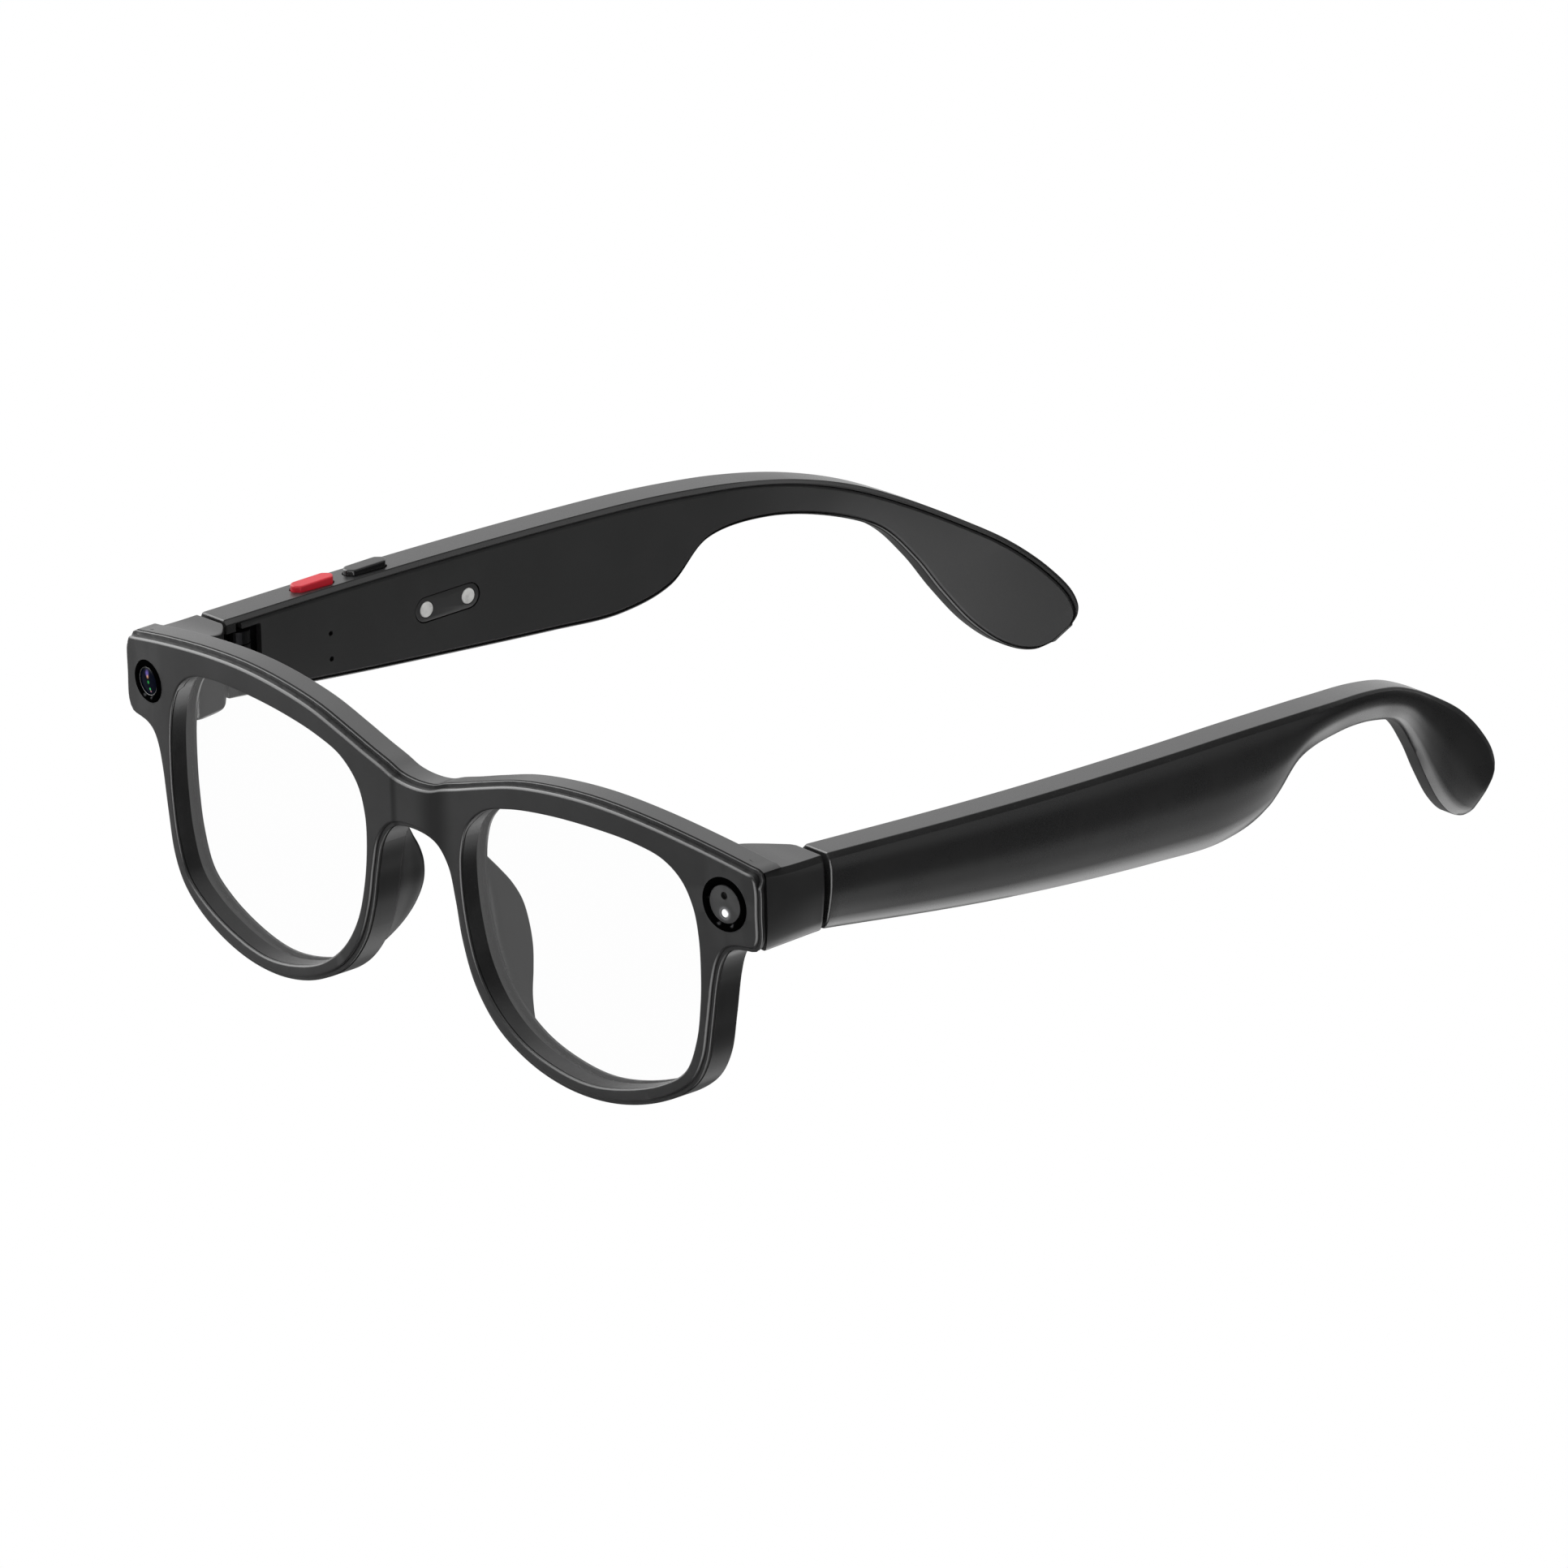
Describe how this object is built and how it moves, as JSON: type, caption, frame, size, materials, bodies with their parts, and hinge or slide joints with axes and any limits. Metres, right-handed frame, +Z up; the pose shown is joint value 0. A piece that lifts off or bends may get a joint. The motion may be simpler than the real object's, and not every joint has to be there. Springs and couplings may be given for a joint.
{
  "type": "smart glasses",
  "caption": "Smart glasses: wrapped front with clear lenses, camera and light modules at the corners, and thick folding temples with buttons and charging contacts.",
  "frame": {"origin": "middle of the bridge's front face", "axes": "+Z up, -Y out of the front (the way the wearer looks), +X towards the wearer's left; the temples run back along +Y when open"},
  "size_m": [0.1522, 0.1747, 0.0492],
  "materials": {
    "satin_plastic": "satin, fine moulded grain",
    "matte_plastic": "matte",
    "gloss_plastic": "polished",
    "grey_plastic": "satin",
    "red_plastic": "semi-gloss",
    "clear_lens": "polished clear",
    "coated_glass": "anti-reflection coating",
    "steel": "fine machined",
    "silver_contact": "plated",
    "light_pipe": "frosted",
    "circuit_board": "solder mask",
    "battery_foil": "foil pouch",
    "flex_cable": "polyimide film"
  },
  "bodies": {
    "front": {"front_plate": "satin_plastic", "rear_frame": "satin_plastic", "left_lens": "clear_lens", "right_lens": "clear_lens", "camera_bezel": "gloss_plastic", "camera_window": "coated_glass", "camera_barrel": "matte_plastic", "camera_sensor": "circuit_board", "light_bezel": "gloss_plastic", "light_cover": "grey_plastic", "light_pipe": "light_pipe", "light_board": "circuit_board", "brow_flex_cable": "flex_cable", "left_hinge_front_leaf": "steel", "left_front_hinge_screw": "steel", "left_hinge_pin": "steel", "right_hinge_front_leaf": "steel", "right_front_hinge_screw": "steel", "right_hinge_pin": "steel"},
    "left_temple": {"left_temple_shell": "satin_plastic", "left_temple_cover": "matte_plastic", "left_hinge_temple_leaf": "steel", "left_temple_hinge_screw": "steel", "left_battery": "battery_foil", "left_speaker": "grey_plastic"},
    "right_temple": {"right_temple_shell": "satin_plastic", "right_temple_cover": "matte_plastic", "right_hinge_temple_leaf": "steel", "right_temple_hinge_screw": "steel", "right_battery": "battery_foil", "right_speaker": "grey_plastic", "main_board": "circuit_board", "contact_plate": "grey_plastic", "charging_contact_front": "silver_contact", "charging_contact_rear": "silver_contact", "red_button_switch": "steel", "black_button_switch": "steel"},
    "red_button": {"red_button": "red_plastic"},
    "black_button": {"black_button": "gloss_plastic"}
  },
  "joints": [
    {"name": "left_temple_hinge", "type": "hinge", "parent": "front", "child": "left_temple", "pos_m": [0.0693, 0.024, 0.0004], "axis": [0, 0, 1], "range_deg": [0, 88]},
    {"name": "right_temple_hinge", "type": "hinge", "parent": "front", "child": "right_temple", "pos_m": [-0.0693, 0.024, 0.0004], "axis": [0, 0, -1], "range_deg": [0, 79]},
    {"name": "red_button_press", "type": "slide", "parent": "right_temple", "child": "red_button", "axis": [0, 0, -1], "range_m": [0, 0.00035]},
    {"name": "black_button_press", "type": "slide", "parent": "right_temple", "child": "black_button", "axis": [0, 0, -1], "range_m": [0, 0.00035]}
  ]
}
